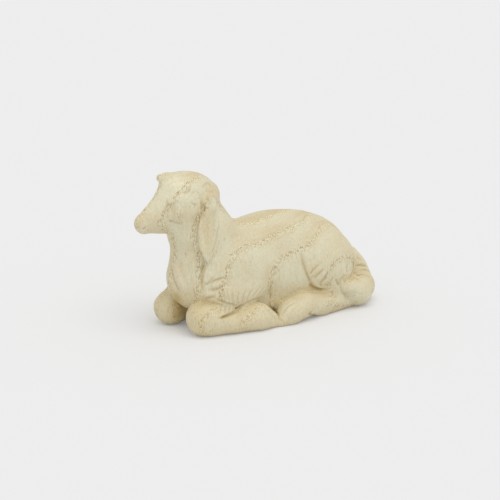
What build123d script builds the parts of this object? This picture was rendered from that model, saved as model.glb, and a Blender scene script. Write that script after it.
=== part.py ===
from build123d import *
import math
import os

# Lying sheep, carved from one block of pale, open-grained wood.
# Nose towards -X, the sheep's left side towards -Y, +Z up.
# The origin lies on the flat base, under the middle of the belly.
# Sizes are in millimetres, angles in degrees.
# Every node is one swelling of the carving, bounded by the carver's creases.

# Block and base
body_width = 23.8
back_height = 30.5
chest_reach = 26.5       # from the origin to the front of the chest
rump_reach = 34.5        # from the origin to the back of the rump
belly_sink = 3.0         # the barrel's round underside, planed off level with the base
base_cut = 0.5           # planed off the underside of every leg and of the tail

# Neck
neck_root_radius = 10.4
neck_top_radius = 7.6
neck_root_height = 18.0
neck_top_height = 37.0
neck_root_setback = 15.5     # behind the front of the chest
neck_top_setback = 6.2

# Head
head_length = 24.2
head_width = 13.2
head_depth = 14.2
head_turn = 14.0             # the nose points to the sheep's right
head_above_neck = 2.0
head_beyond_neck = 7.6       # the poll, behind the centre line of the neck's top
muzzle_drop = 7.3

# Wool cap and forelock
cap_length = 14.6
cap_width = 11.4
cap_thickness = 6.0
cap_forward = 1.5
cap_rise = 4.3
cap_tilt = 3.0
forelock_length = 2.2        # between the middles of its two ends
forelock_radius = 1.3
forelock_tip_radius = 1.1
forelock_rise = 4.8
forelock_lean = 1.2          # the tip stands forward of the root

# Ears
ear_length = 18.4
ear_width = 6.6
ear_thickness = 2.6
ear_back = 3.2               # behind the centre of the head
ear_root_rise = 1.0
ear_spread = 8.3             # middle of the ear's leaf, from the head's middle plane
ear_twist = 20.0             # the front edge is turned outwards
ear_sweep = 1.6              # the tip hangs forward of the leaf's middle
right_ear_flare = 4.0        # the right ear's tip rests on the neck, further out

# Shoulder fleece
shoulder_length = 21.2
shoulder_width = 11.0
shoulder_height = 18.0
shoulder_setback = 16.6      # behind the front of the chest
shoulder_rise = 15.2
shoulder_tilt = 12.0

# Forelegs, folded back under the chest
knee_radius = 5.4
knee_setback = 6.2           # behind the front of the chest
right_knee_lead = 2.0        # the far knee lies further forward
elbow_radius = 3.5
forearm_length = 10.6
elbow_rise = 8.3
cannon_radius = 3.8
fetlock_radius = 4.3
fore_heel_radius = 3.8
fore_toe_radius = 1.9
fore_heel_lag = 1.8          # the heel starts behind the fetlock's centre
fore_hoof_length = 5.4       # from the middle of the heel to that of the toe
fore_cannon_length = 12.8
cannon_lag = 1.9             # the cannon starts behind the knee's centre

# Hindquarters
haunch_length = 22.8
haunch_width = 14.4
haunch_height = 20.0
haunch_setback = 12.8        # ahead of the back of the rump
haunch_rise = 13.6
haunch_tilt = 10.0
hock_radius = 3.8
hind_cannon_radius = 3.6
pastern_radius = 3.8
hock_setback = 6.5           # ahead of the back of the rump
hind_cannon_length = 16.5
pastern_rise = 0.9           # the pastern lies higher than the hock
hind_heel_radius = 3.9
hind_hoof_radius = 3.8
hind_toe_radius = 2.2
hind_hoof_length = 9.1       # from the middle of the heel to that of the toe

# Tail
tail_root_radius = 4.0
tail_radius = 4.3
tail_root_inset = 4.2        # the root starts inside the rump
tail_root_height = 13.8
tail_foot_height = 5.4
tail_overhang = 3.6          # how far the tail's line passes the back of the rump
tuft_root_radius = 4.7
tuft_radius = 4.9
tuft_tip_radius = 2.6
tuft_length = 8.9            # from the middle of the root to that of the tip
tuft_tip_rise = 2.0

# Places across the body, as shares of half its width
knee_spread_share = 0.605
elbow_spread_share = 0.64
fetlock_spread_share = 0.98
fore_toe_spread_share = 1.02
shoulder_spread_share = 0.64
haunch_spread_share = 0.56
hock_spread_share = 0.72
pastern_spread_share = 0.98
hind_toe_spread_share = 1.06
tuft_root_spread_share = 0.45
tuft_spread_share = 0.80
tuft_tip_spread_share = 1.01

# Barrel sections from chest to rump:
# share of the length, of the width, of the height at the crown and at the underside
body_shares = [
    (0.003, 0.27, 0.65, 0.39),
    (0.025, 0.46, 0.765, 0.30),
    (0.090, 0.71, 0.88, 0.18),
    (0.205, 0.81, 0.93, 0.02),
    (0.336, 0.87, 0.95, -0.09),
    (0.500, 0.97, 1.00, -0.10),
    (0.664, 1.00, 0.98, -0.10),
    (0.795, 0.93, 0.91, -0.06),
    (0.893, 0.79, 0.815, 0.02),
    (0.959, 0.56, 0.70, 0.17),
    (0.995, 0.25, 0.565, 0.32),
]

# Neck sections from root to top: share of the way, and of the way from root to top radius
neck_shares = [(0.0, 0.0), (0.3, 0.05), (0.55, 0.3), (0.8, 0.7), (1.0, 1.0)]

# Head sections from poll to nose: share of the length, the width, the depth and the drop
head_shares = [
    (0.004, 0.21, 0.20, 0.00),
    (0.046, 0.59, 0.56, 0.00),
    (0.149, 0.93, 0.87, 0.00),
    (0.336, 1.00, 0.99, 0.04),
    (0.502, 0.91, 1.00, 0.22),
    (0.627, 0.77, 0.80, 0.46),
    (0.751, 0.64, 0.60, 0.76),
    (0.876, 0.53, 0.47, 0.95),
    (0.959, 0.39, 0.36, 1.00),
    (0.997, 0.16, 0.14, 1.01),
]

# Ear sections from root to tip:
# share of the length, the width, the thickness, the spread and the forward sweep
ear_shares = [
    (0.00, 0.50, 1.00, 0.50, 0.00),
    (0.14, 0.70, 1.00, 0.80, -0.10),
    (0.32, 0.90, 0.90, 1.00, -0.10),
    (0.54, 1.00, 0.80, 1.04, 0.10),
    (0.74, 0.86, 0.70, 1.05, 0.45),
    (0.90, 0.50, 0.55, 1.04, 0.85),
    (0.99, 0.14, 0.25, 1.03, 1.00),
]

# A round form between its ends: share of the half length, and of the half width there
egg_shares = [
    (-0.98, 0.20),
    (-0.85, 0.53),
    (-0.50, 0.87),
    (0.00, 1.00),
    (0.50, 0.87),
    (0.85, 0.53),
    (0.98, 0.20),
]

# The rounded end of a limb, from the tip inwards: share of its radius out, and across
tip_shares = [(0.98, 0.20), (0.85, 0.53), (0.50, 0.87)]


def oval(plane, half_width, half_height):
    """A face of four tangent arcs, each under a half circle."""
    slant = math.hypot(half_width, half_height)
    spare = (half_width - half_height) / (half_width + half_height - slant)
    end_radius = half_width - spare * half_height
    corner_x = half_width - end_radius + end_radius * half_height / slant
    corner_y = end_radius * half_width / slant

    def at(x, y):
        return plane.from_local_coords((x, y, 0))

    front = ThreePointArc(at(corner_x, -corner_y), at(half_width, 0), at(corner_x, corner_y))
    crown = ThreePointArc(at(corner_x, corner_y), at(0, half_height), at(-corner_x, corner_y))
    back = ThreePointArc(at(-corner_x, corner_y), at(-half_width, 0), at(-corner_x, -corner_y))
    under = ThreePointArc(at(-corner_x, -corner_y), at(0, -half_height), at(corner_x, -corner_y))
    return Face(Wire([front, crown, back, under]))


def upright(x, y, z):
    """A section plane across the X axis, with Y across and Z up."""
    return Plane(origin=(x, y, z), x_dir=(0, 1, 0), z_dir=(1, 0, 0))


def egg(length, width, height):
    """A round form, longest along X, about its own centre."""
    sections = []
    for along, across in egg_shares:
        plane = upright(along * length / 2, 0, 0)
        sections.append(oval(plane, across * width / 2, across * height / 2))
    return loft(sections)


def limb(points, radii):
    """A tapered limb along the points, rounded at both ends."""
    points = [Vector(*point) for point in points]
    first = (points[1] - points[0]).normalized()
    last = (points[-1] - points[-2]).normalized()
    rings = []
    for out, across in tip_shares:
        rings.append((points[0] - first * (out * radii[0]), first, across * radii[0]))
    for index, (point, radius) in enumerate(zip(points, radii)):
        before = points[max(index - 1, 0)]
        after = points[min(index + 1, len(points) - 1)]
        rings.append((point, (after - before).normalized(), radius))
    for out, across in reversed(tip_shares):
        rings.append((points[-1] + last * (out * radii[-1]), last, across * radii[-1]))
    sections = []
    for point, along, radius in rings:
        plane = Plane(origin=point, x_dir=Vector(0, 0, 1).cross(along), z_dir=along)
        sections.append(oval(plane, radius, radius))
    return loft(sections)


def body():
    sections = []
    for along, across, crown, underside in body_shares:
        x = along * (chest_reach + rump_reach) - chest_reach
        top = crown * back_height
        bottom = underside * back_height
        if underside < 0:
            bottom = underside / body_shares[5][3] * -belly_sink
        plane = upright(x, 0, (top + bottom) / 2)
        sections.append(oval(plane, across * body_width / 2, (top - bottom) / 2))
    return loft(sections)


neck_root = Vector(neck_root_setback - chest_reach, 0, neck_root_height)
neck_top = Vector(neck_top_setback - chest_reach, 0, neck_top_height)


def neck():
    along = (neck_top - neck_root).normalized()
    sections = []
    for way, taper in neck_shares:
        point = neck_root + (neck_top - neck_root) * way
        radius = neck_root_radius + taper * (neck_top_radius - neck_root_radius)
        plane = Plane(origin=point, x_dir=(0, 1, 0), z_dir=along)
        sections.append(oval(plane, radius, radius))
    return loft(sections)


# The head's own frame: X backwards, Y to the sheep's right, Z up
on_head = Location(neck_top + Vector(0, 0, head_above_neck), (0, 0, -head_turn))


def head():
    sections = []
    for along, across, deep, drop in head_shares:
        plane = upright(head_beyond_neck - along * head_length, 0, -drop * muzzle_drop)
        sections.append(oval(plane, across * head_width / 2, deep * head_depth / 2))
    return on_head * loft(sections)


def wool_cap():
    cap = egg(cap_length, cap_width, cap_thickness)
    return on_head * Location((-cap_forward, 0, cap_rise), (0, cap_tilt, 0)) * cap


def forelock():
    root_x = forelock_radius - cap_forward - cap_length / 2
    root = (root_x, 0, forelock_rise)
    tip = (root_x - forelock_lean, 0, forelock_rise + forelock_length)
    return on_head * limb([tip, root], [forelock_tip_radius, forelock_radius])


def ear(side):
    sections = []
    twist = math.radians(ear_twist)
    edge = (math.cos(twist), -side * math.sin(twist), 0)
    for along, across, thick, spread, sweep in ear_shares:
        x = ear_back - sweep * ear_sweep
        y = side * spread * ear_spread + max(side, 0) * along * right_ear_flare
        z = ear_root_rise - along * ear_length
        plane = Plane(origin=(x, y, z), x_dir=edge, z_dir=(0, 0, -1))
        sections.append(oval(plane, across * ear_width / 2, thick * ear_thickness / 2))
    return on_head * loft(sections)


def across_body(share, side):
    """A distance from the middle plane, as a share of half the body's width."""
    return side * share * body_width / 2


def shoulder(side):
    place = Location(
        (shoulder_setback - chest_reach, across_body(shoulder_spread_share, side), shoulder_rise),
        (0, shoulder_tilt, 0),
    )
    return place * egg(shoulder_length, shoulder_width, shoulder_height)


def knee_x(side):
    return knee_setback - chest_reach - max(side, 0) * right_knee_lead


def forearm(side):
    knee = (knee_x(side), across_body(knee_spread_share, side), knee_radius - base_cut)
    elbow = (knee_x(side) + forearm_length, across_body(elbow_spread_share, side), elbow_rise)
    return limb([knee, elbow], [knee_radius, elbow_radius])


def fore_cannon(side):
    start_x = knee_x(side) + cannon_lag
    end_x = start_x + fore_cannon_length
    spread = across_body(knee_spread_share, side)
    splay = across_body(fetlock_spread_share, side) - spread
    knee_end = (start_x, spread + splay / 4, fetlock_radius - base_cut)
    middle = ((start_x + end_x) / 2, spread + splay * 3 / 4, cannon_radius - base_cut)
    fetlock = (end_x, spread + splay, fetlock_radius - base_cut)
    return limb([knee_end, middle, fetlock], [fetlock_radius, cannon_radius, fetlock_radius])


def fore_hoof(side):
    heel_x = knee_x(side) + cannon_lag + fore_cannon_length + fore_heel_lag
    heel_y = across_body(fetlock_spread_share, side)
    toe_y = across_body(fore_toe_spread_share, side)
    heel = (heel_x, heel_y, fore_heel_radius - base_cut)
    toe = (heel_x + fore_hoof_length, toe_y, fore_toe_radius - base_cut)
    return limb([heel, toe], [fore_heel_radius, fore_toe_radius])


def haunch(side):
    place = Location(
        (rump_reach - haunch_setback, across_body(haunch_spread_share, side), haunch_rise),
        (0, haunch_tilt, 0),
    )
    return place * egg(haunch_length, haunch_width, haunch_height)


def hind_cannon(side):
    hock_x = rump_reach - hock_setback
    hock_y = across_body(hock_spread_share, side)
    pastern_y = across_body(pastern_spread_share, side)
    hock = (hock_x, hock_y, hock_radius - base_cut)
    middle_x = hock_x - hind_cannon_length / 2
    middle = (middle_x, (hock_y + pastern_y) / 2, hind_cannon_radius - base_cut)
    pastern = (hock_x - hind_cannon_length, pastern_y, hock_radius - base_cut + pastern_rise)
    return limb([hock, middle, pastern], [hock_radius, hind_cannon_radius, pastern_radius])


def hind_hoof(side):
    heel_x = rump_reach - hock_setback - hind_cannon_length
    heel_y = across_body(pastern_spread_share, side)
    toe_y = across_body(hind_toe_spread_share, side)
    heel = (heel_x, heel_y, hind_heel_radius + pastern_rise - base_cut)
    middle_x = heel_x - hind_hoof_length / 2
    middle = (middle_x, (heel_y + toe_y) / 2, hind_hoof_radius - base_cut)
    toe = (heel_x - hind_hoof_length, toe_y, hind_toe_radius - base_cut)
    return limb([heel, middle, toe], [hind_heel_radius, hind_hoof_radius, hind_toe_radius])


def tail():
    root = (rump_reach - tail_root_inset, 0, tail_root_height)
    bend_x = rump_reach + tail_overhang / 2
    bend = (bend_x, 0, (tail_root_height + tail_radius * 2) / 2)
    foot_x = rump_reach + tail_overhang
    foot = (foot_x, -tail_radius / 2, tail_foot_height)
    return limb([root, bend, foot], [tail_root_radius, tail_radius, tail_radius])


def tail_tuft():
    root_x = rump_reach + tail_overhang / 2
    root_z = tuft_root_radius - base_cut
    root = (root_x, across_body(tuft_root_spread_share, -1), root_z)
    middle_x = root_x - tuft_length / 2
    middle = (middle_x, across_body(tuft_spread_share, -1), root_z + tuft_tip_rise / 4)
    tip_y = across_body(tuft_tip_spread_share, -1)
    tip = (root_x - tuft_length, tip_y, root_z + tuft_tip_rise)
    return limb([root, middle, tip], [tuft_root_radius, tuft_radius, tuft_tip_radius])


def largest(shape):
    return shape.solids().sort_by(SortBy.VOLUME)[-1]


def planed(form):
    """The form with its underside planed flat at the base."""
    return largest(split(form, bisect_by=Plane.XY, keep=Keep.TOP))


# Every form in the order of carving, with the earlier forms that it gives way to
forms = {
    "body": (body(), []),
    "wool_cap": (wool_cap(), []),
    "head": (head(), ["wool_cap"]),
    "forelock": (forelock(), ["wool_cap", "head"]),
    "neck": (neck(), ["body", "head"]),
    "tail": (tail(), ["body"]),
}
for name, side in (("left", -1), ("right", 1)):
    forms[name + "_ear"] = (ear(side), ["wool_cap", "head", "neck", "body"])
    forms[name + "_shoulder"] = (shoulder(side), ["body", "neck", name + "_ear"])
    forms[name + "_forearm"] = (forearm(side), ["body", "neck", name + "_shoulder"])
    forms[name + "_fore_cannon"] = (
        fore_cannon(side),
        ["body", name + "_shoulder", name + "_forearm"],
    )
    forms[name + "_fore_hoof"] = (fore_hoof(side), ["body", name + "_fore_cannon"])
    forms[name + "_haunch"] = (haunch(side), ["body", "tail"])
    forms[name + "_hind_hoof"] = (
        hind_hoof(side),
        ["body", name + "_haunch", name + "_fore_hoof"],
    )
forms["tail_tuft"] = (tail_tuft(), ["body", "tail", "left_haunch"])
for name, side in (("left", -1), ("right", 1)):
    forms[name + "_hind_cannon"] = (
        hind_cannon(side),
        ["body", "tail", "tail_tuft", name + "_haunch", name + "_hind_hoof"],
    )

os.makedirs("parts", exist_ok=True)
whole = {}
for name, (form, earlier) in forms.items():
    whole[name] = planed(form)
    piece = whole[name]
    for other in earlier:
        piece = largest(piece - whole[other])
    export_step(piece, "parts/" + name + ".step")
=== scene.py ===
import math
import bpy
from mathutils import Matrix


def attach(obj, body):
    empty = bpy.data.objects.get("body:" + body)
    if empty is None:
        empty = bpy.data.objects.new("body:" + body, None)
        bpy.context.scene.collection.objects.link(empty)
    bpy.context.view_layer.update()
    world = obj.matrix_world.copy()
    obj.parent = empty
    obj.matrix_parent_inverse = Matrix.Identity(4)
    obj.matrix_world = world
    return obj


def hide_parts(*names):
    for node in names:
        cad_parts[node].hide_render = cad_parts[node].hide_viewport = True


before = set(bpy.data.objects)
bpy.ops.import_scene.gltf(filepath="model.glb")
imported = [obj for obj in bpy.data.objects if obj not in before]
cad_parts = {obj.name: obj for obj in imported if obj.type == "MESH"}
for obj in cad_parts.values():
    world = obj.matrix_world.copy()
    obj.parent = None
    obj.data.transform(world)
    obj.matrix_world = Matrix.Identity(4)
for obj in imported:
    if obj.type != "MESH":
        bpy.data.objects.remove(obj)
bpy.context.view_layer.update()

from concurrent.futures import ThreadPoolExecutor

import bpy
import numpy as np
from mathutils import Matrix, Vector

# A lying sheep carved from one block of pale, open-grained wood.
# Nose towards -X, the sheep's left side towards -Y, +Z up, base at Z = 0.
# The carving is worked out in millimetres and its meshes are made in metres.
MM = 0.001

# Camera, in degrees and millimetres
VIEW_AZIMUTH = -35.0
VIEW_ELEVATION = 16.0
VIEW_DISTANCE = 650.0
VIEW_TARGET = (0.47, 0.0, 19.9)
MM_PER_PIXEL = 0.29
PHOTO_SIDE = 500
SENSOR_WIDTH = 36.0
NEAREST_SEEN = 0.01  # metres

# Mesh, in millimetres
FINE_STEP = 0.30
COARSE_CELLS = 4  # along each cell of the coarse grid that first finds the wood
LOW = np.array((-41.0, -19.0, -0.6))
HIGH = np.array((47.0, 19.0, 50.5))
BASE_EDGE = 0.35  # the width over which the flat base rounds into the sides


# Distance functions

def smooth_min(a, b, blend):
    h = np.clip(0.5 + 0.5 * (b - a) / blend, 0, 1)
    return b * (1 - h) + a * h - blend * h * (1 - h)


def smooth_max(a, b, blend):
    return -smooth_min(-a, -b, blend)


def turn(yaw=0.0, pitch=0.0):
    y, p = np.radians([yaw, pitch])
    about_z = np.array([[np.cos(y), -np.sin(y), 0], [np.sin(y), np.cos(y), 0], [0, 0, 1]])
    about_y = np.array([[np.cos(p), 0, np.sin(p)], [0, 1, 0], [-np.sin(p), 0, np.cos(p)]])
    return about_z @ about_y


def ellipsoid(p, centre, radii, rotation=None):
    q = p - np.array(centre, float)
    if rotation is not None:
        q = q @ rotation
    radii = np.array(radii, float)
    near = np.linalg.norm(q / radii, axis=1)
    steep = np.linalg.norm(q / (radii * radii), axis=1)
    return near * (near - 1) / np.maximum(steep, 1e-9)


def cone(p, start, end, start_radius, end_radius):
    start, end = np.array(start, float), np.array(end, float)
    along = end - start
    t = np.clip(((p - start) @ along) / (along @ along), 0, 1)
    reach = np.linalg.norm(p - (start + t[:, None] * along), axis=1)
    return reach - (start_radius + (end_radius - start_radius) * t)


def limb(p, joints, blend):
    """A chain of cones through (point, radius) pairs."""
    d = None
    for (a, a_radius), (b, b_radius) in zip(joints[:-1], joints[1:]):
        part = cone(p, a, b, a_radius, b_radius)
        d = part if d is None else smooth_min(d, part, blend)
    return d


# The forms of the carving, in millimetres. A form that comes in pairs takes the side, -1 for the
# left and 1 for the right. A blend is the width over which two parts of a form run together.

def swollen(p, first, *others):
    """An ellipsoid, and others that run into it, each a centre, radii and a blend."""
    d = ellipsoid(p, *first)
    for centre, radii, blend in others:
        d = smooth_min(d, ellipsoid(p, centre, radii), blend)
    return d


def body(p):
    barrel = ((6.2, 0, 16.0), (21.0, 11.2, 14.7))
    chest = ((-16.0, 0, 15.3), (11.2, 8.7, 10.3), 5)
    rump = ((18, 0, 13.5), (16.8, 11.0, 14.0), 5)
    belly = ((6.5, 0, 4.0), (24.5, 9.4, 7.0), 3)
    return swollen(p, barrel, chest, rump, belly)


def neck(p):
    joints = [((-10.3, 0, 20), 10.0), ((-17.0, 0, 28.5), 8.25), ((-20.2, 0, 36), 7.2)]
    return limb(p, joints, blend=3)


HEAD_AT = np.array([-20.8, 0.3, 39.0])
HEAD_TURN = turn(yaw=-14.0)
MUZZLE_NARROWING = 1.15


def in_head(p):
    """Points in the head's own frame: X backwards, Y to the sheep's right, Z up."""
    return (p - HEAD_AT) @ HEAD_TURN


def out_of_head(q):
    return q @ HEAD_TURN.T + HEAD_AT


def head(p):
    q = in_head(p)
    skull = ((0.2, 0, 0.2), (7.6, 6.2, 6.5))
    back_of_skull = ((5.4, 0, 1.0), (3.3, 4.8, 3.0), 1)
    jaw = ((-3.2, 0, -4.6), (6.0, 4.6, 4.4), 2)
    joints = [((-3.9, 0, -0.3), 5.7), ((-8.8, 0, -5.15), 4.2), ((-12.8, 0, -6.55), 3.1)]
    muzzle = limb(q * (1, MUZZLE_NARROWING, 1), joints, blend=2)
    return smooth_min(swollen(q, skull, back_of_skull, jaw), muzzle, 1.5)


def wool_cap(p):
    return ellipsoid(in_head(p), (-1.1, 0, 3.95), (7.0, 5.2, 3.1), turn(pitch=6))


def forelock(p):
    joints = [((-8.1, 0, 6.2), 1.05), ((-6.2, 0, 5.7), 1.75), ((-3.5, 0, 5.4), 1.9)]
    return limb(in_head(p), joints, blend=0.8)


# The ear hangs as a leaf with a pointed tip, its front edge turned out and its back edge in.
# The head turns to the right, so the right ear rests on the neck and its tip stands further out.
EAR_ROOT = np.array([3.7, 7.6, 0.8])
EAR_TIP = np.array([2.5, 8.8, -17.4])
RIGHT_EAR_FLARE = np.array([0.0, 3.6, 0.0])
EAR_HALF_WIDTH, EAR_END_WIDTH = 3.2, 0.15
EAR_HALF_THICKNESS = 1.3
EAR_THINNING = 0.45  # the share of its thickness that it loses down to the tip
EAR_WIDEST = 0.95  # a power: below 1 it is widest nearer its root
EAR_FULLNESS = 0.75  # a power: below 1 it is fuller than a sine curve
EAR_END = 0.02  # the share of its length that rounds off at each end
EAR_END_LENGTH = 1.2
EAR_CUP, EAR_TWIST, EAR_MOST_TURN = 0.45, 0.75, 1.2


def ear(p, side):
    q = in_head(p) * (1, side, 1)
    along = EAR_TIP + max(side, 0) * RIGHT_EAR_FLARE - EAR_ROOT
    t = ((q - EAR_ROOT) @ along) / (along @ along)
    inner = np.clip(t, EAR_END, 1 - EAR_END)
    swell = np.sin(np.pi * inner ** EAR_WIDEST) ** EAR_FULLNESS
    half_width = EAR_HALF_WIDTH * swell + EAR_END_WIDTH
    half_thickness = EAR_HALF_THICKNESS * (1 - EAR_THINNING * inner)
    centre = EAR_ROOT + inner[:, None] * along
    across = (q[:, 0] - centre[:, 0]) / half_width
    turned = np.clip(EAR_CUP * across ** 2 - EAR_TWIST * across, -EAR_MOST_TURN, EAR_MOST_TURN)
    outward = (q[:, 1] - centre[:, 1] - turned) / half_thickness
    beyond = (q[:, 2] - centre[:, 2]) / EAR_END_LENGTH
    near = np.sqrt(across ** 2 + outward ** 2 + beyond ** 2)
    steep = np.sqrt(
        (across / half_width) ** 2 + (outward / half_thickness) ** 2 + (beyond / EAR_END_LENGTH) ** 2
    )
    leaf = near * (near - 1) / np.maximum(steep, 1e-6)
    stem = cone(q, (4.2, 5.2, 0.2), (4.0, 7.3, -1.6), 2.3, 2.0)
    return smooth_min(leaf, stem, 0.8)


def shoulder(p, side):
    fleece = ((-9.5, side * 7.4, 15.6), (9.5, 4.4, 8.5), turn(pitch=12))
    fringe = ((-11.2, side * 8.7, 11.4), (8.8, 4.2, 4.8), 2)
    return swollen(p, fleece, fringe)


def haunch(p, side):
    thigh = ((21.5, side * 6.8, 14.2), (11.2, 6.8, 9.3), turn(pitch=10))
    lower_thigh = ((24.5, side * 8.6, 8.0), (5.5, 4.4, 6.0), 2)
    return swollen(p, thigh, lower_thigh)


def knee(side):
    """The middle of a knee; the right one lies further forward."""
    return (-20.4, -7.2, 4.9) if side < 0 else (-22.1, 7.2, 4.9)


def forearm(p, side):
    """From knee to elbow; the right one also rises behind the chest."""
    elbow = (-9.8, side * 8.3, 7.9)
    if side < 0:
        return cone(p, knee(side), elbow, 5.3, 3.6)
    rise = cone(p, knee(side), (-20.6, 6.4, 10.2), 5.0, 2.9)
    return smooth_min(cone(p, knee(side), elbow, 5.0, 3.6), rise, 0.6)


def fore_cannon(p, side):
    x = knee(side)[0]
    joints = [
        ((x + 1.9, side * 8.2, 4.1), 4.6),
        ((x + 8.2, side * 10.3, 3.4), 3.6),
        ((x + 14.9, side * 11.5, 3.8), 4.2),
    ]
    return limb(p, joints, blend=1)


def fore_hoof(p, side):
    x = knee(side)[0]
    return cone(p, (x + 16.6, side * 11.7, 3.2), (x + 22.0, side * 12.2, 1.1), 3.8, 1.9)


def hind_hoof(p, side):
    joints = [
        ((10.5, side * 11.8, 4.4), 3.9),
        ((6.0, side * 12.2, 3.2), 3.6),
        ((2.4, side * 12.6, 1.6), 2.2),
    ]
    return limb(p, joints, blend=1)


def hind_cannon(p, side):
    joints = [
        ((28, side * 8.6, 3.3), 3.8),
        ((18, side * 10.2, 3.1), 3.6),
        ((11.5, side * 11.5, 4.4), 3.8),
    ]
    return limb(p, joints, blend=1)


def tail(p):
    joints = [
        ((30.7, 0, 14.0), 3.9),
        ((35.2, -0.2, 11.4), 3.9),
        ((37.5, -0.8, 8.3), 4.0),
        ((38.2, -2.4, 5.4), 4.25),
    ]
    return limb(p, joints, blend=2)


def tail_tuft(p):
    joints = [((36.5, -5.4, 4.4), 4.7), ((31.8, -9.6, 5.0), 4.6), ((27.6, -12.0, 7.0), 2.6)]
    return limb(p, joints, blend=1.5)


def sided(form, side):
    return lambda p: form(p, side)


def both_sides(*forms):
    sides = (("left", -1), ("right", 1))
    return [
        (side_name + "_" + name, sided(form, side), fillet)
        for side_name, side in sides for name, form, fillet in forms
    ]


# Every form with the width of the fillet that blends it into those before it
FORMS = [
    ("body", body, 0.0),
    ("neck", neck, 5.5),
    *both_sides(("haunch", haunch, 3.0), ("shoulder", shoulder, 4.0)),
    ("tail", tail, 0.5),
    ("tail_tuft", tail_tuft, 0.4),
    *both_sides(
        ("forearm", forearm, 0.5),
        ("fore_cannon", fore_cannon, 0.6),
        ("fore_hoof", fore_hoof, 0.8),
        ("hind_hoof", hind_hoof, 0.6),
        ("hind_cannon", hind_cannon, 0.8),
    ),
    ("head", head, 2.8),
    ("wool_cap", wool_cap, 1.6),
    ("forelock", forelock, 0.9),
    *both_sides(("ear", ear, 0.4)),
]

# Distances beyond this are all the same, so that each form is worked out near itself only
FAR = 3.0
SCAN_STEP = 1.5
SCAN_MARGIN = 4.0


def grid(low, high, step):
    sides = [np.arange(a, b + step, step) for a, b in zip(low, high)]
    return np.stack(np.meshgrid(*sides, indexing="ij"), -1).reshape(-1, 3)


def form_boxes():
    points = grid(LOW - SCAN_MARGIN, HIGH + SCAN_MARGIN, SCAN_STEP)
    boxes = []
    for name, form, fillet in FORMS:
        near = points[form(points) < FAR + fillet]
        boxes.append((near.min(0) - SCAN_STEP, near.max(0) + SCAN_STEP))
    return boxes


BOXES = form_boxes()


def inside_box(p, low, high):
    """Indices of the points in a box, found quickly where the points lie wholly outside it."""
    if (p.min(0) > high).any() or (p.max(0) < low).any():
        return np.zeros(0, int)
    return np.flatnonzero(((p > low) & (p < high)).all(1))


def rough_form(p, labels=False):
    """Distance to the uncut carving, and with labels the index of the form that each point is in."""
    d = np.full(len(p), FAR)
    nearest = d.copy()
    label = np.zeros(len(p), np.int16)
    for index, (name, form, fillet) in enumerate(FORMS):
        near = inside_box(p, *BOXES[index])
        if not len(near):
            continue
        part = form(p[near])
        d[near] = smooth_min(d[near], part, fillet) if fillet else np.minimum(d[near], part)
        closer = part < nearest[near]
        nearest[near[closer]] = part[closer]
        label[near[closer]] = index
    d = smooth_max(d, -p[:, 2], BASE_EDGE)
    return (d, label) if labels else d


# Camera geometry, which also places the cuts that are named by pixels of the photograph

def direction(azimuth, elevation):
    """The way to a place this far round from the sheep's left side, and this high."""
    a, e = math.radians(azimuth), math.radians(elevation)
    return (math.sin(a) * math.cos(e), -math.cos(a) * math.cos(e), math.sin(e))


TO_CAMERA = np.array(direction(VIEW_AZIMUTH, VIEW_ELEVATION))
view_turn = math.radians(VIEW_AZIMUTH)
RIGHTWARDS = np.array([math.cos(view_turn), math.sin(view_turn), 0.0])
UPWARDS = np.cross(TO_CAMERA, RIGHTWARDS)
EYE = np.array(VIEW_TARGET) + TO_CAMERA * VIEW_DISTANCE
PIXELS_DEEP = VIEW_DISTANCE / MM_PER_PIXEL
RAY_MARGIN = 60.0  # mm before and behind the target in which rays look for the wood
RAY_STEPS = 80
RAY_CAUTION = 0.8  # the share of its distance from the wood that a ray moves on

TETRAHEDRON = np.array([(1, 1, 1), (1, -1, -1), (-1, 1, -1), (-1, -1, 1)], float)


def gradient(field, p, reach=0.05):
    g = sum(way * field(p + way * reach)[:, None] for way in TETRAHEDRON)
    return g / np.maximum(np.linalg.norm(g, axis=1, keepdims=True), 1e-9)


def onto_surface(points, rounds=6):
    for _ in range(rounds):
        points = points - gradient(rough_form, points) * rough_form(points)[:, None]
    return points


def from_photo(pixels):
    """Points of the uncut surface that the photograph shows at these pixels."""
    px = np.array(pixels, float)
    middle = PHOTO_SIDE / 2
    rays = (
        (px[:, :1] - middle) / PIXELS_DEEP * RIGHTWARDS
        - (px[:, 1:] - middle) / PIXELS_DEEP * UPWARDS
        - TO_CAMERA
    )
    rays = rays / np.linalg.norm(rays, axis=1, keepdims=True)
    reach = np.full(len(px), VIEW_DISTANCE - RAY_MARGIN)
    for _ in range(RAY_STEPS):
        reach = reach + rough_form(EYE + rays * reach[:, None]) * RAY_CAUTION
        reach = np.minimum(reach, VIEW_DISTANCE + RAY_MARGIN)
    return onto_surface(EYE + rays * reach[:, None], 3)


def smooth_line(points, steps=5):
    """More points on a smooth curve through the given ones."""
    ends = np.vstack([2 * points[0] - points[1], points, 2 * points[-1] - points[-2]])
    out = []
    for a, b, c, d in zip(ends[:-3], ends[1:-2], ends[2:-1], ends[3:]):
        for t in np.arange(steps) / steps:
            bend = 2 * b + (c - a) * t + (2 * a - 5 * b + 4 * c - d) * t ** 2
            out.append(0.5 * (bend + (3 * b - a - 3 * c + d) * t ** 3))
    out.append(points[-1])
    return np.array(out)


def split(points, counts):
    return np.split(points, np.cumsum(counts)[:-1])


# Cuts and swellings that the photograph shows: half width, depth and pixels along the stroke.
# A negative depth raises the wood. Strokes on the head are mirrored in the head's own frame.

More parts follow.
